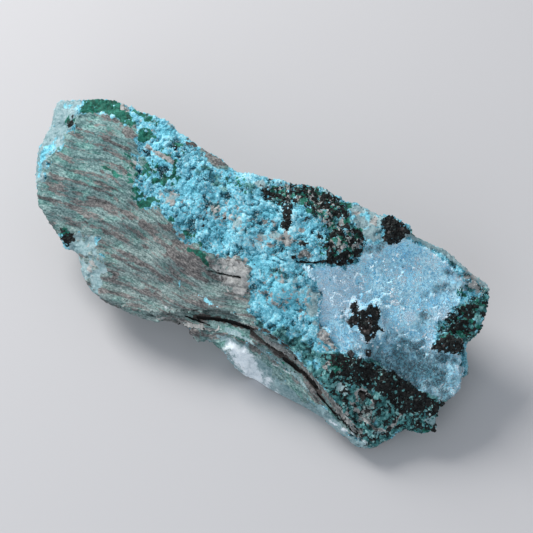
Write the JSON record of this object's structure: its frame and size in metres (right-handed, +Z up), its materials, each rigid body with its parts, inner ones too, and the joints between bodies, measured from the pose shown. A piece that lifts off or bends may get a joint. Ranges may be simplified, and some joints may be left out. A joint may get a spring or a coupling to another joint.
{
  "type": "chrysocolla and malachite specimen",
  "caption": "long mineral specimen that lies on its flat foot: banded rock with turquoise and green crusts, a quartz-lined hollow and black crystal clusters",
  "frame": {"origin": "centre of the specimen's box, on the plane of its flat foot", "axes": "+X along the length towards the quartz hollow, +Y towards the back, +Z up"},
  "size_m": [0.1054, 0.0436, 0.0284],
  "materials": {
    "rock": "rough broken stone, turquoise, green and grey-brown",
    "quartz": "clear ice blue crystal faces",
    "black_crystal": "black crystal faces, half gloss"
  },
  "bodies": {
    "root": {"rock": "rock", "quartz_druse": "quartz", "black_crystals_rim": "black_crystal", "black_crystals_centre": "black_crystal", "black_crystals_end": "black_crystal"}
  },
  "joints": []
}
